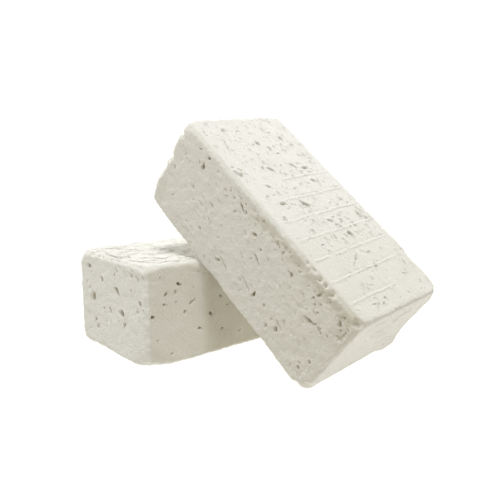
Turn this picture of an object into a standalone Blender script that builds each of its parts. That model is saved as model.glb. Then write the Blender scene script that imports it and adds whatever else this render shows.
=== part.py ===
"""Two pressed blocks of gymnastics chalk: one lies flat, the other leans across its long upper edge.

Metres, +Z up. The origin is the centre of the flat block's underside, on the surface it lies on.
+X runs along the flat block, and +Y across it, away from the leaning block's foot.
"""

from math import cos, pi, radians, sin

import bmesh
import bpy
from mathutils import Matrix, Vector

# One block, as it leaves the press.
LENGTH = 0.100
WIDTH = 0.052
HEIGHT = 0.040
EDGE_RADIUS = 0.004
EDGE_SEGMENTS = 4

# How the second block leans: its underside bears on the flat block's near upper edge, and its
# lowest corner stands on the floor.
LEAN_ANGLE = radians(39.6)
TWIST = radians(5.5)
FOOT_ALONG = 0.0298
CONTACT_GAP = 0.0003

# Low ridges across the leaning block's upper face, a press mark that starts at its lower end.
RIDGE_COUNT = 7
RIDGE_PITCH = 0.0091
FIRST_RIDGE = -0.0409
RIDGE_LENGTH = 0.0430
RIDGE_SKEW = radians(1.6)
RIDGE_RADIUS = 0.0008
RIDGE_STANDS = 0.00035

# Scored grooves across the leaning block's upper end, by their heights above the block's middle.
GROOVE_HEIGHTS = (0.0140, 0.0035)
GROOVE_RADIUS = 0.0012
GROOVE_DEPTH = 0.0007
BAR_SIDES = 12

CHALK_COLOUR = (0.86, 0.85, 0.80, 1.0)
CHALK_ROUGHNESS = 0.95


def clear_scene():
    """Removes whatever the file opened with."""
    for thing in list(bpy.data.objects):
        bpy.data.objects.remove(thing)


def chalk_material():
    """Dry, matt, warm white magnesium carbonate."""
    material = bpy.data.materials.new("pressed_chalk")
    material.use_nodes = True
    shader = material.node_tree.nodes["Principled BSDF"]
    shader.inputs["Base Color"].default_value = CHALK_COLOUR
    shader.inputs["Roughness"].default_value = CHALK_ROUGHNESS
    shader.inputs["Metallic"].default_value = 0.0
    return material


def link_mesh(name, shape):
    """Turns a bmesh into a linked object of that name."""
    mesh = bpy.data.meshes.new(name)
    shape.to_mesh(mesh)
    shape.free()
    thing = bpy.data.objects.new(name, mesh)
    bpy.context.scene.collection.objects.link(thing)
    return thing


def make_block(name, material):
    """One block with rounded edges, centred on its own origin, length along its X."""
    shape = bmesh.new()
    size = Matrix.Diagonal((LENGTH, WIDTH, HEIGHT, 1.0))
    bmesh.ops.create_cube(shape, size=1.0, matrix=size)
    block = link_mesh(name, shape)
    block.data.shade_smooth()
    block.data.materials.append(material)
    rounding = block.modifiers.new("rounded_edges", "BEVEL")
    rounding.width = EDGE_RADIUS
    rounding.segments = EDGE_SEGMENTS
    rounding.limit_method = "NONE"
    rounding.harden_normals = True
    return block


def make_bars(name, block, radius, length, centres, turn):
    """Round bars across the block, one at each centre, as a hidden tool for a Boolean."""
    shape = bmesh.new()
    across = Matrix.Rotation(pi / 2, 4, "X")
    for centre in centres:
        place = Matrix.Translation(centre) @ Matrix.Rotation(turn, 4, "Z") @ across
        bmesh.ops.create_cone(
            shape,
            cap_ends=True,
            segments=BAR_SIDES,
            radius1=radius,
            radius2=radius,
            depth=length,
            matrix=place,
        )
    bars = link_mesh(name, shape)
    bars.hide_render = True
    bars.display_type = "WIRE"
    bars.parent = block
    return bars


def combine(block, tool, operation):
    """Adds the tool's shape to the block, or cuts it away."""
    step = block.modifiers.new(tool.name, "BOOLEAN")
    step.operation = operation
    step.solver = "EXACT"
    step.object = tool


def add_ridges(block):
    """The row of low ridges across the upper face."""
    height = HEIGHT / 2 + RIDGE_STANDS - RIDGE_RADIUS
    centres = [
        Vector((FIRST_RIDGE + index * RIDGE_PITCH, 0.0, height))
        for index in range(RIDGE_COUNT)
    ]
    ridges = make_bars("ridge_bars", block, RIDGE_RADIUS, RIDGE_LENGTH, centres, RIDGE_SKEW)
    combine(block, ridges, "UNION")


def cut_end_grooves(block):
    """The scored grooves across the upper end, which run out on its rounded upright edges."""
    reach = LENGTH / 2 + GROOVE_RADIUS - GROOVE_DEPTH
    centres = [Vector((reach, 0.0, height)) for height in GROOVE_HEIGHTS]
    grooves = make_bars("groove_bars", block, GROOVE_RADIUS, 1.2 * WIDTH, centres, 0.0)
    combine(block, grooves, "DIFFERENCE")


def place_leaning(block):
    """Lays the block's underside on a plane that touches the flat block's rounded upper edge.

    The seat empty is on the centre of that edge's rounding, at the flat block's -X end. It is
    tilted by the lean, so its Z is the underside's normal and its Y points up the slope.
    """
    seat = bpy.data.objects.new("lean_seat", None)
    bpy.context.scene.collection.objects.link(seat)
    edge_height = HEIGHT - EDGE_RADIUS
    seat.location = (-LENGTH / 2, -WIDTH / 2 + EDGE_RADIUS, edge_height)
    seat.rotation_euler = (LEAN_ANGLE, 0.0, 0.0)

    # The foot corner's ball, of the edge radius, touches the floor. That sets how far the corner
    # lies down the slope from the seat.
    stand_off = EDGE_RADIUS + CONTACT_GAP
    ball_rise = EDGE_RADIUS * (cos(TWIST) + sin(TWIST)) * sin(LEAN_ANGLE)
    ball_lift = (stand_off + EDGE_RADIUS) * cos(LEAN_ANGLE)
    down_slope = (edge_height - EDGE_RADIUS + ball_lift + ball_rise) / sin(LEAN_ANGLE)

    # In the seat's frame the block runs up the slope, turned by the twist about its foot corner.
    turn = Matrix.Rotation(pi / 2 + TWIST, 3, "Z")
    foot_corner = Vector((FOOT_ALONG, -down_slope, stand_off))
    to_centre = turn @ Vector((LENGTH / 2, -WIDTH / 2, 0.0))
    block.parent = seat
    block.location = foot_corner + to_centre + Vector((0.0, 0.0, HEIGHT / 2))
    block.rotation_euler = (0.0, 0.0, pi / 2 + TWIST)


def main():
    clear_scene()
    chalk = chalk_material()

    flat_block = make_block("flat_block", chalk)
    flat_block.location = (0.0, 0.0, HEIGHT / 2)

    leaning_block = make_block("leaning_block", chalk)
    add_ridges(leaning_block)
    cut_end_grooves(leaning_block)
    place_leaning(leaning_block)


main()
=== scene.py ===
"""Looks of the pair of gymnastics chalk blocks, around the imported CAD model.

Each CAD brick is replaced by a sculpted one in the same place. A sculpted brick is a box, refined
where its relief needs it, rounded at its edges and cut into by voids, chips, worn edges and grain.
That is worked out in millimetres in the block's own frame, with the origin in its middle: x runs
along the block from its foot to its head, y across it to its left side, and z up to its top face.
Throughout, half is half the block's size along each of these.
"""

from dataclasses import dataclass
from itertools import product
from math import cos, pi, radians, sin

import bmesh
import bpy
import numpy as np
from mathutils import Matrix, Vector


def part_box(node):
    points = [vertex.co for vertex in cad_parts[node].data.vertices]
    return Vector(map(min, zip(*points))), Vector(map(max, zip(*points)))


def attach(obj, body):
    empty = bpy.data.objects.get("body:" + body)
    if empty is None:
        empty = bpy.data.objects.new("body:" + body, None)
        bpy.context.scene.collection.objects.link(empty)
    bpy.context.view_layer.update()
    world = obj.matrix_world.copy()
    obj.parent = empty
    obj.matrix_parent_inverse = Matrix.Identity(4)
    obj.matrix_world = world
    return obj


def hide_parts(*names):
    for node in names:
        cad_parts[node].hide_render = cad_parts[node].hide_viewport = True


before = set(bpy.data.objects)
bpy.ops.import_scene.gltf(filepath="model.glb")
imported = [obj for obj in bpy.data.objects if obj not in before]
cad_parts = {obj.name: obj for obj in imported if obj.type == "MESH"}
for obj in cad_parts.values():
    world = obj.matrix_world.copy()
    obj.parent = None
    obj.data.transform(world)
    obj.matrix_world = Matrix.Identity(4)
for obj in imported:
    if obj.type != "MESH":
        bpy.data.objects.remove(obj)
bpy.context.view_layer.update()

MM = 0.001

# How the second block leans, as in the CAD model: the tilt of its underside, and its turn in that
# tilted plane.
LEAN_ANGLE = radians(39.6)
TWIST = radians(5.5)

# The rounding of a fresh edge, of a corner, and of an edge that has worn soft.
CRISP_RADIUS = 1.7
CORNER_RADIUS = 2.8
SOFT_RADIUS = 4.0
NEAR_UPRIGHT_RADIUS = 2.6
CORNER_REACH = 7.0

# Where along the block a soft edge starts: before the block does, so that all of it is soft, or
# about where the other block leans on it.
WHOLE_LENGTH = -60
UNDER_LEANING = -32

# How far from an edge the relief starts to slant, so that deep wear doesn't fold the surface.
SLANT_REACH = 6.0

# The mesh: the first grid's cell, and for each halving how far the surface may bend away from a
# cell's edge before the edge is halved.
CELL = 1.0
TOLERANCES = (0.034, 0.046, 0.072)

NOISE_TABLE = 4096

# The rim of a void: the most that it stands out, and its usual height as a share of the void's
# depth; then how far outside the void its crest lies, and how far it reaches to each side of that,
# both as shares of the void's half length.
RIM_HEIGHT = 0.2
RIM_SHARE = 0.3
RIM_PLACE = 0.2
RIM_REACH = 0.35

# On the faces that stand upright in the press, voids are deeper by the first share and their rims
# lower by the second.
UPRIGHT_DEEPER = 0.3
UPRIGHT_LOWER = 0.7

# How far, and over what distance, the outlines of voids and chips wander.
RAGGED_SHIFT = 0.28
RAGGED_CELL = 1.2

# Random voids: the spread of their lengths, the longest one as a multiple of the usual length, and
# the narrowest width.
LENGTH_SPREAD = 0.4
LONGEST = 1.8
NARROWEST = 0.5

# Kinds of random void, as the ranges that scatter() takes.
FAINT = {"slim": (0.3, 0.9), "deep": (0.15, 0.4)}
STROKES = {"slim": (0.24, 0.5), "deep": (0.4, 0.7)}

# Random chips: how far they lie off their line, and the spread of their sizes and depths.
CHIP_SHIFT = 0.35
CHIP_SPREAD = 0.35
CHIP_DEPTHS = (0.4, 1.2)

# The unevenness of every face: how broad its waves, patches and grains are, and how deep.
WAVE_CELL = 22.0
WAVE_DEPTH = 0.16
PATCH_CELL = 4.0
PATCH_DEPTH = 0.13
GRAIN_CELL = 1.8
GRAIN_DEPTH = 0.13

# How much rougher than the other faces the flat block's foot end and the leaning block's left are.
FOOT_ROUGHER = 0.5
LEFT_ROUGHER = 0.65

# Wear along the edges: how broad and deep its bites and crumbs are, and how far in it reaches,
# which is twice as far in the deepest bites.
BITE_CELL = 6.0
BITE_DEPTH = 0.45
CRUMB_CELL = 1.8
CRUMB_DEPTH = 0.1
WEAR_REACH = 2.0

# The crumbled strip under the leaning block's long upper edge.
STRIP_LUMP = 3.0
STRIP_DEPTH = 0.8

# Soiling and painted shade, from 0 to 1: painted shade on the flat block's front, a painted shadow
# added there under the leaning block, and soiling on its top; then on the leaning block, painted
# shade toward the foot of its top, all over its left face and more toward the foot, and in its
# crumbled strip, and soiling beside its foot. Last, how it varies from place to place.
FRONT_PAINTED_SHADE = 0.28
PAINTED_SHADOW_UNDER_LEANING = 0.30
FLAT_TOP_SOIL = 0.08
LOWER_TOP_PAINTED_SHADE = 0.2
LEFT_PAINTED_SHADE = 0.08
LOWER_LEFT_PAINTED_SHADE = 0.1
STRIP_PAINTED_SHADE = 0.3
FOOT_END_SOIL = 0.2
BLOTCH_CELL = 9.0
BLOTCH_STRENGTH = 0.3

# Ridges that the press leaves across the leaning block's top face.
RIDGES = (
    # along, from the right side, to the left side
    (-41.0, -4.0, 23.5),
    (-31.9, -19.0, 24.5),
    (-22.8, -22.5, 24.0),
    (-14.0, -24.0, 23.5),
    (-5.2, -24.0, 22.5),
    (3.8, -23.0, 18.0),
    (13.4, -24.0, 6.0),
)
RIDGE_HEIGHT = 0.42
RIDGE_WIDTH = 1.15
RIDGE_SKEW = 0.03

# Scored grooves across the leaning block's upper end, by their heights.
GROOVES = (14.0, 3.5)
GROOVE_DEPTH = 1.2
GROOVE_WIDTH = 3.0

# Chalk: its powder, from dull to bright, the specks in it, the colour of its soiling and of its
# painted shade, and the painted shade deep in a void.
DULL_POWDER = (0.75, 0.74, 0.692, 1)
BRIGHT_POWDER = (0.787, 0.777, 0.735, 1)
SPECKS = (0.71, 0.695, 0.64, 1)
SOIL_AND_SHADE_COLOUR = (0.50, 0.46, 0.34, 1)
PAINTED_SHADE_IN_VOIDS = (0.34, 0.28, 0.15, 1)
BUMP_HEIGHT = 0.13

# The camera: its lens in mm, its place in metres, and how far it looks down and to the right, in
# degrees.
LENS = 42.2
SENSOR = 36.0
CAMERA_PLACE = (-0.1587, -0.2017, 0.0826)
CAMERA_DOWN = 10.15
CAMERA_RIGHT = 42.15

# The lamps, in metres and watts, or watts per square metre for the fill.
LAMPS_AIM = Vector((0.0, -0.03, 0.05))
LAMP_DISTANCE = 0.5
LAMP_COLOUR = (0.98, 1.0, 1.03)
SOFTBOX_FROM = Vector((-0.16, -0.17, 1.0))
SOFTBOX_SIZE = 0.2
SOFTBOX_ENERGY = 1.97
FILL_FROM = Vector((-0.16, 0.10, 1.0))
FILL_ENERGY = 1.3

# The table top, and how much it glows.
FLOOR_SIZE = 20.0
FLOOR_COLOUR = (0.20, 0.195, 0.185, 1.0)
FLOOR_GLOW_COLOUR = (1.0, 0.985, 0.935, 1.0)
FLOOR_GLOW = 0.97

# The room: its colours, which way the backdrop is, over what cosines the wall turns into it, how
# high in degrees the wall and the backdrop reach, and how soft the change to the ceiling is.
WALL_COLOUR = (0.58, 0.54, 0.45, 1.0)
BACKDROP_COLOUR = (1.08, 1.07, 1.04, 1.0)
CEILING_COLOUR = (0.27, 0.265, 0.25, 1.0)
BACKDROP_TOWARD = (0.6, 0.8, 0.0)
BACKDROP_BLEND = (-0.1, 0.3)
WALL_TOP = 14
BACKDROP_TOP = 32
CEILING_BLEND = 0.1


# --- noise -------------------------------------------------------------------------------------


def smooth_noise(points, cell, seed):
    """Gradient noise of about -1 to 1 at each point, with bumps about one cell wide."""
    rng = np.random.default_rng(seed)
    slopes = rng.normal(size=(NOISE_TABLE, 3))
    slopes /= np.linalg.norm(slopes, axis=1, keepdims=True)
    shuffle = rng.permutation(NOISE_TABLE)
    place = points / cell + rng.uniform(0, 100, 3)
    low = np.floor(place).astype(int)
    part = place - low
    ease = part**3 * (part * (part * 6 - 15) + 10)
    total = np.zeros(len(points))
    for corner in product((0, 1), repeat=3):
        node = (low + corner) % NOISE_TABLE
        index = shuffle[node[:, 0]]
        index = shuffle[(index + node[:, 1]) % NOISE_TABLE]
        index = shuffle[(index + node[:, 2]) % NOISE_TABLE]
        weight = np.where(corner, ease, 1 - ease).prod(axis=1)
        total += weight * ((part - corner) * slopes[index]).sum(axis=1)
    return 1.6 * total


def layered_noise(points, cell, seed, layers=3):
    """Noise with finer, fainter layers on top, of about -1 to 1."""
    total = np.zeros(len(points))
    for layer in range(layers):
        total += 0.5**layer * smooth_noise(points, cell / 2**layer, seed + layer)
    return total / (2 - 0.5 ** (layers - 1))


def ramp(value, low, high):
    """0 below low, 1 above high, and a smooth rise between them."""
    part = np.clip((value - low) / (high - low), 0, 1)
    return part * part * (3 - 2 * part)


def ragged(points, amount, cell, seed):
    """The points, each moved a little at random, so that shapes looked up there have ragged rims."""
    shifts = [smooth_noise(points, cell, seed + axis) for axis in range(3)]
    return points + amount * np.stack(shifts, axis=1)


# --- voids and chips ---------------------------------------------------------------------------

# Each face by name: its normal, and the two directions that places on it are given in.
FACES = {
    "top": ((0, 0, 1), (1, 0, 0), (0, 1, 0)),
    "base": ((0, 0, -1), (1, 0, 0), (0, 1, 0)),
    "left": ((0, 1, 0), (1, 0, 0), (0, 0, 1)),
    "right": ((0, -1, 0), (1, 0, 0), (0, 0, 1)),
    "foot": ((-1, 0, 0), (0, 1, 0), (0, 0, 1)),
    "head": ((1, 0, 0), (0, 1, 0), (0, 0, 1)),
}


# How far from the middle of a face its random voids may lie.
FACE_EXTENTS = {"top": (48, 24), "base": (46, 23), "foot": (24, 18), "head": (24, 18)}
SIDE_EXTENT = (48, 17)


@dataclass
class Void:
    """A hole left by trapped air, or a scratch: an oval cut in a face, given in mm and degrees."""

    face: str
    u: float
    v: float
    length: float
    width: float
    depth: float
    turn: float
    taper: float = 0.0
    bend: float = 0.0
    wall: float = 0.55

    def axes(self, half):
        """Its middle on the box, and its own two directions in the face."""
        normal, first, second = (np.array(axis, float) for axis in FACES[self.face])
        centre = normal * half + first * self.u + second * self.v
        angle = radians(self.turn)
        along = cos(angle) * first + sin(angle) * second
        across = cos(angle) * second - sin(angle) * first
        return centre, along, across


@dataclass
class Chip:
    """A place where the block has broken or worn away, or bulges if its depth is negative."""

    centre: tuple
    size: tuple
    depth: float


class Points:
    """Surface points, sorted along the block so that those near a place are found fast."""

    def __init__(self, places):
        self.places = places
        self.order = np.argsort(places[:, 0])
        self.sorted_x = places[self.order, 0]

    def near(self, centre, reach):
        """The numbers of the points within reach of the centre, and their offsets from it."""
        first = np.searchsorted(self.sorted_x, centre[0] - reach)
        last = np.searchsorted(self.sorted_x, centre[0] + reach)
        numbers = self.order[first:last]
        offsets = self.places[numbers] - centre
        close = np.abs(offsets).max(axis=1) < reach
        return numbers[close], offsets[close]


def void_depths(points, voids, half):
    """How deep in a void each surface point lies, and how high on the rim of one, in mm."""
    depths = np.zeros(len(points.places))
    rims = np.zeros(len(points.places))
    for void in voids:
        centre, along, across = void.axes(half)
        near, offset = points.near(centre, 0.8 * max(void.length, void.width))
        u = offset @ along / (void.length / 2)
        v = offset @ across / (void.width / 2) + void.bend * (u * u - 0.5)
        v = v / (1 - void.taper * np.clip(u, -1, 1))
        inside = 1 - np.hypot(u, v)
        depths[near] = np.maximum(depths[near], void.depth * ramp(inside, 0, void.wall))
        crest = ramp(1 - np.abs(inside + RIM_PLACE) / RIM_REACH, 0, 1)
        rims[near] = np.maximum(rims[near], min(RIM_HEIGHT, RIM_SHARE * void.depth) * crest)
    return depths, rims


def upright(normals):
    """1 on the faces that stand upright in the press, 0 on the two pressed ones."""
    return ramp(1 - np.abs(normals[:, 2]), 0.2, 0.8)


def chip_depths(points, chips):
    """How much the chips take away at each surface point, in mm."""
    depths = np.zeros(len(points.places))
    for chip in chips:
        near, offset = points.near(np.array(chip.centre, float), max(chip.size))
        distance = np.linalg.norm(offset / chip.size, axis=1)
        depths[near] += chip.depth * ramp(1 - distance, 0, 1)
    return depths


def scatter(rng, face, count, size, slim, deep, accept=None, turn=(0, 90)):
    """Random voids over a face, where accept(u, v) lets them be.

    Their lengths are about size. Slim is the range of width over length, deep that of depth over
    width, and turn the mean and spread of their directions.
    """
    along, across = FACE_EXTENTS.get(face, SIDE_EXTENT)
    voids = []
    while len(voids) < count:
        u = rng.uniform(-along, along)
        v = rng.uniform(-across, across)
        if accept is not None and rng.random() > accept(u, v):
            continue
        length = size * min(rng.lognormal(0, LENGTH_SPREAD), LONGEST)
        width = max(NARROWEST, length * rng.uniform(*slim))
        depth = width * rng.uniform(*deep)
        angle = rng.normal(*turn)
        taper, bend = rng.uniform(-0.5, 0.5, 2)
        wall = rng.uniform(0.5, 1.0)
        voids.append(Void(face, u, v, length, width, depth, angle, taper, bend, wall))
    return voids


def edge_chips(rng, start, end, count, size, depth):
    """Random chips along a line from start to end, each about that size and depth."""
    chips = []
    for _ in range(count):
        middle = np.array(start) + rng.uniform() * (np.array(end) - np.array(start))
        middle = middle + rng.normal(0, CHIP_SHIFT, 3)
        reach = size * rng.lognormal(0, CHIP_SPREAD, 3)
        chips.append(Chip(tuple(middle), tuple(reach), depth * rng.uniform(*CHIP_DEPTHS)))
    return chips


# --- the brick ---------------------------------------------------------------------------------


def edge_radius(points, half, soft_edges):
    """The rounding of the box at each point: crisp along an edge, soft near corners.

    A soft edge is given by the signs of its two faces, as in (0, -1, 1) for right and top, by its
    radius, and by how far along the block it starts to be soft.
    """
    gap = (half - np.abs(points)).max(axis=1)
    corner = 1 - ramp(gap, 0.3 * CORNER_REACH, CORNER_REACH)
    radius = CRISP_RADIUS + (CORNER_RADIUS - CRISP_RADIUS) * corner
    for signs, worn, start in soft_edges:
        nearness = np.where(signs, points * signs - (half - CORNER_REACH), CORNER_REACH)
        soft = ramp(nearness.min(axis=1), 0, CORNER_REACH / 3)
        soft *= ramp(points[:, 0], start, start + CORNER_REACH)
        radius = np.maximum(radius, CRISP_RADIUS + (worn - CRISP_RADIUS) * soft)
    return radius


def round_box(points, half, radius):
    """Points of a box moved on to the same box with round edges, and the normals there."""
    core = half - radius[:, None]
    inner = np.clip(points, -core, core)
    outward = points - inner
    normals = outward / np.linalg.norm(outward, axis=1, keepdims=True)
    return inner + radius[:, None] * normals, normals


def relief_directions(surface, half):
    """Which way the relief moves each surface point: near an edge, away from both its faces."""
    core = half - SLANT_REACH
    outward = surface - np.clip(surface, -core, core)
    return outward / np.linalg.norm(outward, axis=1, keepdims=True)


def box_grid(half):
    """A box cut into about square cells, as a bmesh of triangles."""
    shape = bmesh.new()
    bmesh.ops.create_cube(shape, size=2.0, matrix=Matrix.Diagonal((*half, 1.0)))
    for axis in range(3):
        direction = [0.0, 0.0, 0.0]
        direction[axis] = 1.0
        cells = round(2 * half[axis] / CELL)
        for place in np.linspace(-half[axis], half[axis], cells + 1)[1:-1]:
            everything = shape.verts[:] + shape.edges[:] + shape.faces[:]
            middle = [place * part for part in direction]
            bmesh.ops.bisect_plane(
                shape, geom=everything, plane_co=middle, plane_no=direction
            )
    bmesh.ops.triangulate(shape, faces=shape.faces[:])
    return shape


def vertex_array(shape):
    """The places of a bmesh's vertices, one row each."""
    return np.array([vertex.co for vertex in shape.verts])


def refine(shape, sculpt, tolerance):
    """Halves every edge whose middle, once sculpted, lies off the line between its ends."""
    shape.verts.index_update()
    edges = shape.edges[:]
    ends = np.array([[vertex.index for vertex in edge.verts] for edge in edges])
    flat = vertex_array(shape)
    placed = sculpt(flat)[0]
    middles = sculpt(flat[ends].mean(axis=1))[0]
    bend = np.linalg.norm(middles - placed[ends].mean(axis=1), axis=1)
    chosen = [edge for edge, size in zip(edges, bend) if size > tolerance]
    bmesh.ops.subdivide_edges(shape, edges=chosen, cuts=1, use_grid_fill=True)
    bmesh.ops.triangulate(shape, faces=[f for f in shape.faces if len(f.verts) > 3])


def make_brick(name, node, sculpt, half, place):
    """A sculpted brick as an object, in place of its CAD node."""
    shape = box_grid(half)
    for tolerance in TOLERANCES:
        refine(shape, sculpt, tolerance)
    placed, pits, soil_and_painted_shade = sculpt(vertex_array(shape))
    mesh = bpy.data.meshes.new(name)
    shape.to_mesh(mesh)
    shape.free()
    mesh.vertices.foreach_set("co", placed.astype(np.float32).ravel() * MM)
    # For the material: the depth of the voids, which it turns into painted shade, and the soiling and
    # painted shade of each place.
    mesh.attributes.new("pit", "FLOAT", "POINT").data.foreach_set("value", pits)
    mesh.attributes.new("soil_and_painted_shade", "FLOAT", "POINT").data.foreach_set("value", soil_and_painted_shade)
    mesh.transform(place)
    mesh.shade_smooth()
    brick = bpy.data.objects.new(name, mesh)
    bpy.context.scene.collection.objects.link(brick)
    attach(brick, node)
    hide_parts(node)
    return brick


def skin(surface, roughness, seed):
    """The unevenness that every face has. It only ever cuts in, so that it is 0 or less."""
    waves = layered_noise(surface, WAVE_CELL, seed, 2)
    patches = layered_noise(surface, PATCH_CELL, seed + 10, 2)
    grain = layered_noise(surface, GRAIN_CELL, seed + 20, 2)
    fine = PATCH_DEPTH * (patches - 1) + GRAIN_DEPTH * (grain - 1)
    return WAVE_DEPTH * (waves - 1) + roughness * fine


def edge_wear(surface, half, seed):
    """How much has crumbled off along the edges, in mm."""
    from_edge = np.partition(half - np.abs(surface), 1, axis=1)[:, 1]
    bites = ramp(layered_noise(surface, BITE_CELL, seed, 2), -0.3, 0.9)
    crumbs = ramp(layered_noise(surface, CRUMB_CELL, seed + 10, 2), -0.5, 0.7)
    near = 1 - ramp(from_edge, 0, WEAR_REACH + WEAR_REACH * bites)
    return near * (BITE_DEPTH * bites + CRUMB_DEPTH * crumbs)


def blotches(surface, seed):
    """Uneven strength of the soiling from hands and of the painted shade, about 1."""
    return 1 + BLOTCH_STRENGTH * layered_noise(surface, BLOTCH_CELL, seed, 3)


# --- the flat block ----------------------------------------------------------------------------


def flat_voids():
    """Its holes and scratches: the large ones one by one, the small ones at random in groups."""
    rng = np.random.default_rng(11)

    def along_front_edge(u, v):
        return 1.0 if v > 13 else 0.0

    def near_corner(u, v):
        return 1.0 if v > 14.5 and u < -4 else 0.0

    def left_end(u, v):
        return 1.0 if u < -30 else 0.0

    voids = [
        Void("foot", -4.5, 7.0, 5.5, 2.4, 3.0, 31, bend=0.8),
        Void("foot", -7.5, -1.0, 4.8, 3.4, 2.1, 10, wall=0.8),
        Void("foot", 17.5, 14.0, 4.0, 2.5, 2.8, 12),
        Void("foot", 7.0, 10.0, 2.9, 2.2, 2.0, 68),
        Void("foot", 1.0, -1.5, 3.7, 1.6, 1.5, 56),
        Void("foot", 15.0, 1.5, 5.5, 3.9, 1.1, -71),
        Void("foot", -21.0, 5.5, 2.6, 2.2, 1.6, 5),
        Void("foot", 12.0, -10.5, 3.1, 2.2, 1.2, -45),
        Void("foot", -9.5, -5.0, 2.1, 2.0, 1.4, 80),
        Void("foot", 13.5, -8.0, 2.2, 1.8, 1.2, -53),
        Void("right", -28.8, 3.6, 4.6, 1.2, 2.0, 30, taper=0.4),
        Void("right", -20.0, -3.0, 2.5, 1.8, 2.4, -55),
        Void("right", -47.3, 0.6, 1.8, 1.6, 1.9, 0),
        Void("right", -40.8, 8.4, 2.0, 1.4, 1.8, 58),
        Void("right", -35.0, 11.4, 3.0, 1.3, 1.7, -26),
        Void("right", -32.6, 0.2, 1.9, 1.3, 1.4, 37),
        Void("right", -41.8, 4.6, 1.5, 1.4, 1.6, -22),
        Void("right", -14.8, 3.2, 2.2, 1.6, 1.4, -15),
        Void("right", -39.0, -15.2, 1.6, 1.2, 1.1, 62),
        Void("right", -36.8, 8.6, 2.6, 1.0, 0.8, 87),
        Void("right", -25.5, -7.8, 2.2, 1.4, 1.4, -28),
        Void("top", -46.6, 3.0, 18.0, 1.5, 1.3, 86, bend=1.2),
        Void("top", -44.6, -15.0, 16.0, 1.6, 1.6, -66, bend=-1.8),
        Void("top", -37.0, -21.6, 13.0, 1.5, 1.3, 2, bend=0.8),
        Void("top", -42.0, -2.0, 11.0, 1.4, 1.0, 62, bend=1.0),
        Void("top", -34.0, -14.0, 13.0, 1.4, 1.0, 10, bend=-1.0),
        Void("top", -36.0, 6.0, 15.0, 1.4, 1.0, -14, bend=1.6),
        Void("top", -24.0, -19.0, 15.0, 1.4, 1.0, 5, bend=1.0),
        Void("top", -28.0, -5.0, 16.0, 1.4, 1.0, 8, bend=-1.4),
    ]
    voids += scatter(rng, "foot", 34, 1.2, **FAINT)
    voids += scatter(rng, "foot", 26, 1.2, (0.5, 0.9), (0.4, 0.9))
    voids += scatter(rng, "right", 80, 1.0, **FAINT)
    voids += scatter(rng, "right", 20, 0.9, (0.6, 0.9), (0.6, 1.0))
    voids += scatter(rng, "right", 24, 5.0, (0.1, 0.2), (0.1, 0.22), along_front_edge, (0, 5))
    voids += scatter(rng, "foot", 22, 2.4, (0.25, 0.4), (0.35, 0.6), near_corner, (50, 12))
    voids += scatter(rng, "top", 26, 6.0, (0.16, 0.24), (0.6, 1.0), left_end, (-30, 30))
    voids += scatter(rng, "top", 260, 2.6, (0.22, 0.45), (0.5, 0.85), turn=(4, 28))
    voids += scatter(rng, "top", 60, 1.4, (0.5, 0.9), (0.3, 0.6))
    for face, count in (("left", 1.0), ("head", 0.5), ("base", 1.2)):
        voids += scatter(rng, face, int(130 * count), 1.1, **FAINT)
        voids += scatter(rng, face, int(50 * count), 1.5, (0.4, 0.9), (0.5, 1.0))
    return voids


def flat_chips():
    """Its broken corners, its worn base, and the small chips along its edges."""
    rng = np.random.default_rng(12)
    chips = [
        Chip((-50, -26, -20), (12, 12, 9), 1.7),
        Chip((-42, -26, -20), (14, 5, 4), 0.5),
        Chip((-50, 12, -20), (6, 24, 4), 0.55),
        Chip((-50, 26, 20), (6, 6, 6), 1.4),
    ]
    chips += edge_chips(rng, (-49.4, -25, 19.4), (-49.4, 25, 19.4), 34, 1.2, 0.5)
    chips += edge_chips(rng, (-49.4, -25.4, -18), (-49.4, -25.4, 18), 12, 0.9, 0.3)
    chips += edge_chips(rng, (-49, -25.4, -19.4), (49, -25.4, -19.4), 30, 0.9, 0.5)
    chips += edge_chips(rng, (-49.4, -25, -19.4), (-49.4, 25, -19.4), 16, 0.9, 0.5)
    chips += edge_chips(rng, (-49, 25.4, 19.4), (49, 25.4, 19.4), 50, 1.1, 0.6)
    chips += edge_chips(rng, (49.4, -25, 19.4), (49.4, 25, 19.4), 26, 1.2, 0.6)
    return chips


def flat_sculpt(half):
    """The function that sculpts it: it takes places on its box, and gives where they end up."""
    voids = flat_voids()
    chips = flat_chips()
    soft_edges = (
        ((0, -1, 1), SOFT_RADIUS, UNDER_LEANING),
        ((-1, -1, 0), NEAR_UPRIGHT_RADIUS, WHOLE_LENGTH),
    )

    def sculpt(points):
        radius = edge_radius(points, half, soft_edges)
        surface, normals = round_box(points, half, radius)
        torn = Points(ragged(surface, RAGGED_SHIFT, RAGGED_CELL, 150))
        pits, rims = void_depths(torn, voids, half)
        pits *= 1 + UPRIGHT_DEEPER * upright(normals)
        rims *= 1 - UPRIGHT_LOWER * upright(normals)
        gone = chip_depths(torn, chips) + edge_wear(surface, half, 170)
        roughness = 1 + FOOT_ROUGHER * ramp(-normals[:, 0], 0.3, 0.9)
        height = skin(surface, roughness, 100) + rims - pits - gone
        # Painted shade over the flat block's front, with a painted shadow added toward the leaning
        # block; a little soiling on its top.
        front = ramp(-normals[:, 1], 0.75, 1.0)
        soil_and_painted_shade = front * (FRONT_PAINTED_SHADE + PAINTED_SHADOW_UNDER_LEANING * ramp(surface[:, 0], -26, -20))
        soil_and_painted_shade += FLAT_TOP_SOIL * ramp(normals[:, 2], 0.2, 0.8)
        soil_and_painted_shade *= blotches(surface, 180)
        return surface + relief_directions(surface, half) * height[:, None], pits, soil_and_painted_shade

    return sculpt


# --- the leaning block -------------------------------------------------------------------------


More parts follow.
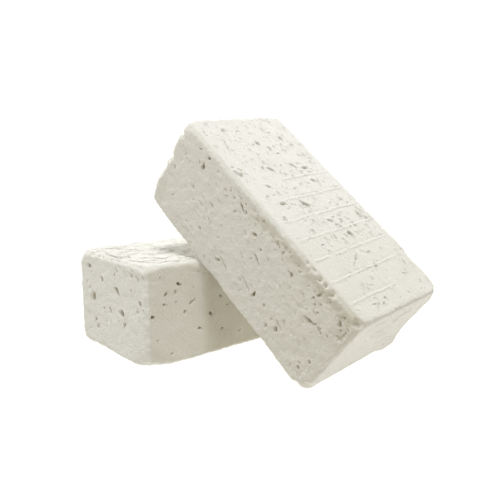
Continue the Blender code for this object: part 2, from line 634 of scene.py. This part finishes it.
def leaning_voids():
    """Its holes and scratches: the large ones one by one, the small ones at random in groups."""
    rng = np.random.default_rng(23)

    def upper_part(u, v):
        return 1.0 if u > 14 else 0.12

    def between_ridges(u, v):
        """Denser right of the smooth margin along the left edge, and away from the ridges."""
        if u > 16:
            return 0.4
        clear = min(abs(u - ridge[0]) for ridge in RIDGES)
        margin = 0.1 if v > 15 else 1.0
        foot = 0.4 if u < -24 else 1.0
        return margin * foot * (0.2 if clear < 1.4 else 1.0)

    def under_left_edge(u, v):
        return 1.0 if 11 < v < 16.5 and u < 22 else 0.0

    def foot_cluster(u, v):
        return 1.0 if -39 < u < -28 and -5 < v < 15 else 0.0

    def foot_row(u, v):
        return 1.0 if -47.5 < u < -44 else 0.0

    voids = [
        Void("top", 0.0, 4.0, 5.8, 2.0, 1.5, 41, taper=0.2),
        Void("top", -17.0, -4.5, 3.8, 2.1, 1.5, 40, taper=-0.3),
        Void("top", 33.5, 0.5, 3.0, 2.1, 1.4, 24),
        Void("top", -10.0, -18.5, 4.4, 2.2, 1.0, 14),
        Void("top", 19.0, 5.5, 4.2, 1.6, 1.1, 43),
        Void("top", 18.5, 22.0, 3.6, 2.4, 1.0, -52),
        Void("top", 35.0, -14.5, 3.2, 2.0, 1.2, 0),
        Void("top", 19.5, -7.5, 4.6, 1.5, 0.9, 41),
        Void("top", 10.5, -11.0, 3.0, 1.5, 1.1, 50),
        Void("top", -9.5, -0.5, 3.6, 1.4, 1.0, 55),
        Void("top", 17.5, -13.0, 4.4, 1.7, 1.0, 78),
        Void("top", 30.0, -3.5, 3.0, 1.5, 1.0, 0),
        Void("top", 42.0, 12.0, 3.0, 2.0, 1.0, -20),
        Void("top", 33.5, 17.0, 7.5, 0.9, 0.8, -20, bend=0.8),
        Void("top", -4.3, 19.6, 2.4, 1.8, 0.9, -27),
        Void("top", -27.0, 3.5, 4.8, 1.4, 0.9, -51),
        Void("top", -38.0, 12.0, 4.4, 1.0, 0.6, -31),
        Void("top", 2.2, 14.8, 3.2, 1.5, 1.0, 86),
        Void("left", -35.3, 4.4, 7.0, 1.6, 2.5, -18, bend=-0.7, taper=-0.3),
        Void("left", 32.6, 12.0, 3.8, 2.0, 2.8, 76, taper=0.5),
        Void("left", -12.9, -8.0, 3.6, 1.7, 2.6, -87, taper=-0.4),
        Void("left", -27.5, -10.3, 2.8, 1.8, 1.7, 57),
        Void("left", -20.2, 10.6, 2.6, 1.7, 2.0, 45),
        Void("left", 9.4, 13.3, 4.6, 1.4, 1.7, 31),
        Void("left", -6.2, 3.4, 5.4, 1.1, 1.2, 20, bend=0.9),
        Void("left", -46.6, 9.0, 4.4, 1.6, 0.7, -12),
        Void("left", -0.5, 9.6, 2.8, 1.7, 1.4, -16),
        Void("left", -42.3, -13.0, 2.3, 1.4, 1.4, 29),
        Void("left", 7.3, -11.6, 3.7, 1.4, 1.1, -25),
        Void("left", 21.2, 3.4, 3.0, 1.2, 1.1, 0),
        Void("left", 31.8, 16.5, 2.2, 1.6, 1.6, 6),
        Void("left", -27.0, -7.8, 6.5, 1.0, 0.8, 12, bend=0.6),
        Void("left", -8.0, -8.0, 9.0, 1.0, 0.6, 14, bend=1.4),
        Void("left", 4.0, -10.5, 9.0, 1.1, 0.6, 18, bend=1.2),
        Void("left", -47.0, 10.5, 7.0, 1.2, 0.7, -80),
        Void("foot", -3.8, 9.3, 2.6, 1.3, 1.1, 10),
        Void("foot", -8.7, 14.6, 2.0, 1.6, 1.1, 0),
        Void("foot", 0.0, 4.7, 4.6, 1.1, 0.7, 8),
        Void("foot", 6.0, 5.0, 2.0, 1.4, 0.8, 0),
        Void("foot", 3.0, 7.5, 16.0, 0.8, 0.3, 4, bend=1.0),
        Void("foot", -6.0, 12.0, 19.0, 0.9, 0.35, -3, bend=1.4),
        Void("foot", -4.0, 1.0, 12.0, 0.8, 0.25, 6),
        Void("foot", -12.0, -6.0, 14.0, 0.8, 0.25, -5, bend=-1.0),
        Void("foot", 10.0, 14.5, 12.0, 0.8, 0.3, 2),
    ]
    for u, v in ((-32.0, 13.5), (-34.6, 12.0), (-33.0, 10.2), (-35.6, 9.0), (-31.2, 11.6)):
        voids.append(Void("left", u, v, 1.3, 1.2, 1.5, 0))
    voids += scatter(rng, "top", 150, 1.3, (0.4, 0.9), (0.3, 0.52), upper_part, (41, 40))
    voids += scatter(rng, "top", 390, 1.6, **STROKES, accept=between_ridges, turn=(41, 26))
    voids += scatter(rng, "left", 180, 2.2, (0.22, 0.5), (0.15, 0.55), turn=(16, 22))
    voids += scatter(rng, "left", 60, 1.1, (0.5, 0.9), (0.5, 1.0))
    voids += scatter(rng, "left", 60, 1.6, (0.3, 0.8), (0.35, 0.75), under_left_edge, (20, 30))
    voids += scatter(rng, "top", 34, 1.2, (0.3, 0.6), (0.3, 0.5), foot_cluster, (60, 50))
    voids += scatter(rng, "top", 16, 1.0, (0.5, 0.9), (0.35, 0.6), foot_row)
    voids += scatter(rng, "foot", 50, 1.3, (0.3, 0.8), (0.2, 0.5), turn=(0, 15))
    for face, count in (("right", 1.0), ("head", 0.5), ("base", 1.2)):
        voids += scatter(rng, face, int(190 * count), 1.7, (0.25, 0.6), (0.2, 0.5))
        voids += scatter(rng, face, int(60 * count), 1.3, (0.4, 0.9), (0.5, 1.0))
    return voids


def leaning_chips():
    """Its broken and swollen corners, its crumbled left edge, and the small chips along the rest."""
    rng = np.random.default_rng(24)
    chips = [
        Chip((50, 26, 20), (7, 7, 7), 0.7),
        Chip((50, 26, 14), (4, 4, 2.2), 1.3),
        Chip((50, 26, 3), (4, 4, 2.4), 1.3),
        Chip((50, 26, -10), (7, 7, 9), -0.6),
        Chip((-50, -26, 20), (8, 8, 8), 1.4),
        Chip((-38, -26, 20), (14, 4, 4), 0.8),
        Chip((-50, -26, 1), (4, 4, 3), 0.3),
        Chip((-50, -26, -14), (10, 10, 10), -1.6),
        Chip((-48.2, 26, 18.4), (2.6, 2.4, 2.4), 2.6),
        Chip((-26, 26, 19.6), (2.2, 1.3, 1.3), 1.2),
        Chip((-29.1, 26, 18.8), (1.8, 1.4, 1.5), 1.3),
        Chip((-31.9, 26, 19.0), (1.5, 1.6, 1.3), 1.2),
        Chip((-35.4, 26, 18.4), (1.9, 1.3, 1.2), 1.0),
        Chip((-22.5, 26, 19.6), (1.3, 1.2, 1.6), 0.8),
    ]
    chips += edge_chips(rng, (-44, 25.7, 18.6), (-17, 25.7, 18.6), 7, 2.0, 0.35)
    chips += edge_chips(rng, (-17, 25.7, 18.6), (18, 25.7, 18.6), 6, 2.0, 0.3)
    chips += edge_chips(rng, (-16, 26, 16.8), (6, 26, 16.8), 14, 1.3, 0.5)
    chips += edge_chips(rng, (-49, -25, 19), (-49, 25, 19), 26, 0.9, 0.3)
    chips += edge_chips(rng, (-49.5, 25.5, -18), (-49.5, 25.5, 17), 14, 1.1, 0.35)
    chips += edge_chips(rng, (49.5, -25, 19.4), (49.5, 25, 19.4), 30, 1.3, 0.6)
    chips += edge_chips(rng, (-48, -25.5, 19.4), (48, -25.5, 19.4), 50, 1.1, 0.5)
    chips += edge_chips(rng, (-48, -25.5, -19.4), (48, -25.5, -19.4), 40, 1.1, 0.6)
    chips += edge_chips(rng, (-40, 25.5, -19.4), (48, 25.5, -19.4), 40, 0.9, 0.4)
    chips += edge_chips(rng, (49.5, 25.5, -18), (49.5, 25.5, 18), 20, 1.3, 0.6)
    return chips


def ridge_heights(surface, normals):
    """How far the press ridges stand out of the top face, each with a slight dip above it."""
    x, y = surface[:, 0], surface[:, 1]
    height = np.zeros(len(surface))
    waver = 0.35 * smooth_noise(surface, 9.0, 75)
    for along, right_end, left_end in RIDGES:
        offset = (x - along + RIDGE_SKEW * y + waver) / (RIDGE_WIDTH / 2)
        crest = ramp(1 - np.abs(offset), 0, 0.9) - 0.35 * ramp(1 - np.abs(offset - 1.7), 0, 1)
        span = ramp(y, right_end - 1, right_end + 2) * ramp(-y, -left_end - 1, -left_end + 2)
        height += crest * span
    strength = 0.55 + 0.45 * ramp(layered_noise(surface, 5.0, 77, 2), -0.7, 0.3)
    return RIDGE_HEIGHT * height * (normals[:, 2] > 0.99) * strength


def groove_depths(surface, normals):
    """The scored grooves across the upper end, which run out on its upright edges."""
    depth = np.zeros(len(surface))
    for height in GROOVES:
        offset = np.abs(surface[:, 2] - height) / (GROOVE_WIDTH / 2)
        depth = np.maximum(depth, ramp(1 - offset, 0, 1))
    return GROOVE_DEPTH * depth * ramp(normals[:, 0], 0.2, 0.7)


def crumbly_place(surface):
    """1 in a strip of the left face under its long upper edge, toward the foot; 0 elsewhere."""
    x, y, z = surface.T
    strip = ramp(z, 12.5, 16.5) * ramp(-z, -19.3, -17) * (y > 20)
    return strip * ramp(x, -49, -42) * ramp(-x, -16, 4)


def foot_end(surface):
    """1 on the left face beside the foot, 0 elsewhere."""
    x, y, z = surface.T
    return ramp(-x, 38, 47) * ramp(z, 0, 10) * (y > 25)


def crumbly_strip(surface):
    """How much has crumbled off that strip."""
    lumps = ramp(layered_noise(surface, STRIP_LUMP, 290, 3), -0.3, 0.7)
    return STRIP_DEPTH * crumbly_place(surface) * lumps


def leaning_sculpt(half):
    """The function that sculpts it: it takes places on its box, and gives where they end up."""
    voids = leaning_voids()
    chips = leaning_chips()
    soft_edges = (((-1, 0, -1), SOFT_RADIUS, WHOLE_LENGTH),)

    def sculpt(points):
        radius = edge_radius(points, half, soft_edges)
        surface, normals = round_box(points, half, radius)
        torn = Points(ragged(surface, RAGGED_SHIFT, RAGGED_CELL, 250))
        pits, rims = void_depths(torn, voids, half)
        pits *= 1 + UPRIGHT_DEEPER * upright(normals)
        rims *= 1 - UPRIGHT_LOWER * upright(normals)
        gone = chip_depths(torn, chips) + edge_wear(surface, half, 270)
        gone += groove_depths(torn.places, normals) + crumbly_strip(surface)
        roughness = 1 + LEFT_ROUGHER * ramp(normals[:, 1], 0.3, 0.9)
        height = skin(surface, roughness, 200) + rims + ridge_heights(surface, normals)
        height -= pits + gone
        # Painted shade toward the foot of the top face, over the left face and more toward the foot,
        # and in the crumbled strip; soiling beside the foot.
        lower = ramp(-surface[:, 0], -12, 42)
        soil_and_painted_shade = LOWER_TOP_PAINTED_SHADE * ramp(normals[:, 2], 0.2, 0.8) * lower
        soil_and_painted_shade += (LEFT_PAINTED_SHADE + LOWER_LEFT_PAINTED_SHADE * lower) * ramp(normals[:, 1], 0.2, 0.8)
        soil_and_painted_shade += STRIP_PAINTED_SHADE * crumbly_place(surface) + FOOT_END_SOIL * foot_end(surface)
        soil_and_painted_shade *= blotches(surface, 280)
        return surface + relief_directions(surface, half) * height[:, None], pits, soil_and_painted_shade

    return sculpt


# --- materials ---------------------------------------------------------------------------------


def chalk_material(name):
    """Dry pressed magnesium carbonate: matt, powdery, warm white, with painted shade in its voids.

    Hands have soiled it a little in places, and some faces carry painted shade, as the attribute of
    soiling and painted shade has it.
    """
    material = bpy.data.materials.new(name)
    material.use_nodes = True
    nodes = material.node_tree.nodes
    link = material.node_tree.links.new
    shader = nodes["Principled BSDF"]
    shader.inputs["Diffuse Roughness"].default_value = 1.0
    shader.inputs["Specular IOR Level"].default_value = 0.2
    coordinates = nodes.new("ShaderNodeTexCoord")

    def noise(scale, detail, low, high):
        """Noise spread over the range from low to high."""
        texture = nodes.new("ShaderNodeTexNoise")
        texture.inputs["Scale"].default_value = scale
        texture.inputs["Detail"].default_value = detail
        link(coordinates.outputs["Object"], texture.inputs["Vector"])
        spread = nodes.new("ShaderNodeMapRange")
        spread.inputs["From Min"].default_value = 0.3
        spread.inputs["From Max"].default_value = 0.7
        spread.inputs["To Min"].default_value = low
        spread.inputs["To Max"].default_value = high
        link(texture.outputs["Fac"], spread.inputs["Value"])
        return spread.outputs["Result"]

    def mix(factor, first, second):
        """Colours blended by a factor; each is a plain colour or a socket."""
        blend = nodes.new("ShaderNodeMix")
        blend.data_type = "RGBA"
        link(factor, blend.inputs["Factor"])
        for socket, colour in ((blend.inputs["A"], first), (blend.inputs["B"], second)):
            if isinstance(colour, tuple):
                socket.default_value = colour
            else:
                link(colour, socket)
        return blend.outputs["Result"]

    powder = mix(noise(170, 4, 0, 1), DULL_POWDER, BRIGHT_POWDER)
    powder = mix(noise(1900, 2, 0, 0.5), powder, SPECKS)
    # Soiling, and painted shade on some faces, as the attribute of soiling and painted shade gives
    # it.
    soil_and_painted_shade = nodes.new("ShaderNodeAttribute")
    soil_and_painted_shade.attribute_name = "soil_and_painted_shade"
    powder = mix(soil_and_painted_shade.outputs["Fac"], powder, SOIL_AND_SHADE_COLOUR)
    # Painted shade in the voids: the deeper a void, the more its colour turns to the painted void
    # shade.
    pit = nodes.new("ShaderNodeAttribute")
    pit.attribute_name = "pit"
    depth = nodes.new("ShaderNodeMapRange")
    depth.inputs["From Min"].default_value = 0.5
    depth.inputs["From Max"].default_value = 1.7
    depth.inputs["To Max"].default_value = 0.85
    link(pit.outputs["Fac"], depth.inputs["Value"])
    link(mix(depth.outputs["Result"], powder, PAINTED_SHADE_IN_VOIDS), shader.inputs["Base Color"])
    link(noise(400, 3, 0.88, 1.0), shader.inputs["Roughness"])

    bump = nodes.new("ShaderNodeBump")
    bump.inputs["Strength"].default_value = 1.0
    bump.inputs["Distance"].default_value = BUMP_HEIGHT * MM
    link(noise(1150, 3, 0, 1), bump.inputs["Height"])
    link(bump.outputs["Normal"], shader.inputs["Normal"])
    return material


# --- the studio --------------------------------------------------------------------------------


def make_camera():
    """A low view of both blocks, from in front of the leaning block's foot."""
    lens = bpy.data.cameras.new("camera")
    lens.lens = LENS
    lens.sensor_width = SENSOR
    lens.clip_start = 0.01
    camera = bpy.data.objects.new("camera", lens)
    bpy.context.scene.collection.objects.link(camera)
    camera.location = CAMERA_PLACE
    camera.rotation_euler = (radians(90 - CAMERA_DOWN), 0.0, radians(-CAMERA_RIGHT))
    bpy.context.scene.camera = camera


def make_floor():
    """A pale table top whose light is mostly its own glow, so that shadows hardly show on it."""
    mesh = bpy.data.meshes.new("floor")
    shape = bmesh.new()
    bmesh.ops.create_grid(shape, x_segments=1, y_segments=1, size=FLOOR_SIZE)
    shape.to_mesh(mesh)
    shape.free()
    floor = bpy.data.objects.new("floor", mesh)
    bpy.context.scene.collection.objects.link(floor)
    material = bpy.data.materials.new("floor")
    material.use_nodes = True
    shader = material.node_tree.nodes["Principled BSDF"]
    shader.inputs["Base Color"].default_value = FLOOR_COLOUR
    shader.inputs["Roughness"].default_value = 1.0
    shader.inputs["Specular IOR Level"].default_value = 0.0
    shader.inputs["Emission Color"].default_value = FLOOR_GLOW_COLOUR
    shader.inputs["Emission Strength"].default_value = FLOOR_GLOW
    mesh.materials.append(material)


def add_lamp(light, direction):
    """A lamp at its distance from the blocks in that direction, turned toward them."""
    light.color = LAMP_COLOUR
    lamp = bpy.data.objects.new(light.name, light)
    bpy.context.scene.collection.objects.link(lamp)
    lamp.rotation_euler = direction.to_track_quat("Z", "Y").to_euler()
    lamp.location = LAMPS_AIM + LAMP_DISTANCE * direction.normalized()


def make_lamps():
    """A round softbox close overhead, and an even light from above that casts no shadows."""
    softbox = bpy.data.lights.new("softbox", "AREA")
    softbox.shape = "DISK"
    softbox.size = SOFTBOX_SIZE
    softbox.energy = SOFTBOX_ENERGY
    add_lamp(softbox, SOFTBOX_FROM)

    fill = bpy.data.lights.new("fill", "SUN")
    fill.energy = FILL_ENERGY
    fill.use_shadow = False
    add_lamp(fill, FILL_FROM)


def make_world():
    """A bright backdrop behind the blocks, a warm wall behind the camera, and a dim ceiling."""
    world = bpy.data.worlds.new("studio")
    world.use_nodes = True
    nodes = world.node_tree.nodes
    link = world.node_tree.links.new
    direction = nodes.new("ShaderNodeTexCoord")

    toward = nodes.new("ShaderNodeVectorMath")
    toward.operation = "DOT_PRODUCT"
    toward.inputs[1].default_value = BACKDROP_TOWARD
    link(direction.outputs["Generated"], toward.inputs[0])
    behind = nodes.new("ShaderNodeMapRange")
    behind.inputs["From Min"].default_value = BACKDROP_BLEND[0]
    behind.inputs["From Max"].default_value = BACKDROP_BLEND[1]
    link(toward.outputs["Value"], behind.inputs["Value"])
    walls = nodes.new("ShaderNodeMix")
    walls.data_type = "RGBA"
    walls.inputs["A"].default_value = WALL_COLOUR
    walls.inputs["B"].default_value = BACKDROP_COLOUR
    link(behind.outputs["Result"], walls.inputs["Factor"])

    split = nodes.new("ShaderNodeSeparateXYZ")
    link(direction.outputs["Generated"], split.inputs["Vector"])
    wall_top = nodes.new("ShaderNodeMapRange")
    wall_top.inputs["To Min"].default_value = sin(radians(WALL_TOP))
    wall_top.inputs["To Max"].default_value = sin(radians(BACKDROP_TOP))
    link(behind.outputs["Result"], wall_top.inputs["Value"])
    ceiling_from = nodes.new("ShaderNodeMath")
    ceiling_from.operation = "ADD"
    ceiling_from.inputs[1].default_value = CEILING_BLEND
    link(wall_top.outputs["Result"], ceiling_from.inputs[0])
    above = nodes.new("ShaderNodeMapRange")
    link(split.outputs["Z"], above.inputs["Value"])
    link(wall_top.outputs["Result"], above.inputs["From Min"])
    link(ceiling_from.outputs["Value"], above.inputs["From Max"])
    room = nodes.new("ShaderNodeMix")
    room.data_type = "RGBA"
    room.inputs["B"].default_value = CEILING_COLOUR
    link(above.outputs["Result"], room.inputs["Factor"])
    link(walls.outputs["Result"], room.inputs["A"])
    link(room.outputs["Result"], nodes["Background"].inputs["Color"])
    bpy.context.scene.world = world


def main():
    """Sets up the studio, and then makes the two sculpted bricks in the CAD bricks' places."""
    make_camera()
    make_world()
    make_floor()
    make_lamps()
    bpy.context.scene.view_settings.view_transform = "Standard"

    chalk = chalk_material("pressed_chalk")
    low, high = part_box("flat_block")
    half = np.array((high - low) / (2 * MM))
    middle = Matrix.Translation((low + high) / 2)
    flat_block = make_brick("flat_chalk", "flat_block", flat_sculpt(half), half, middle)
    flat_block.data.materials.append(chalk)

    low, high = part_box("leaning_block")
    tilt = Matrix.Rotation(LEAN_ANGLE, 4, "X") @ Matrix.Rotation(pi / 2 + TWIST, 4, "Z")
    place = Matrix.Translation((low + high) / 2) @ tilt
    leaning_block = make_brick("leaning_chalk", "leaning_block", leaning_sculpt(half), half, place)
    leaning_block.data.materials.append(chalk)


main()
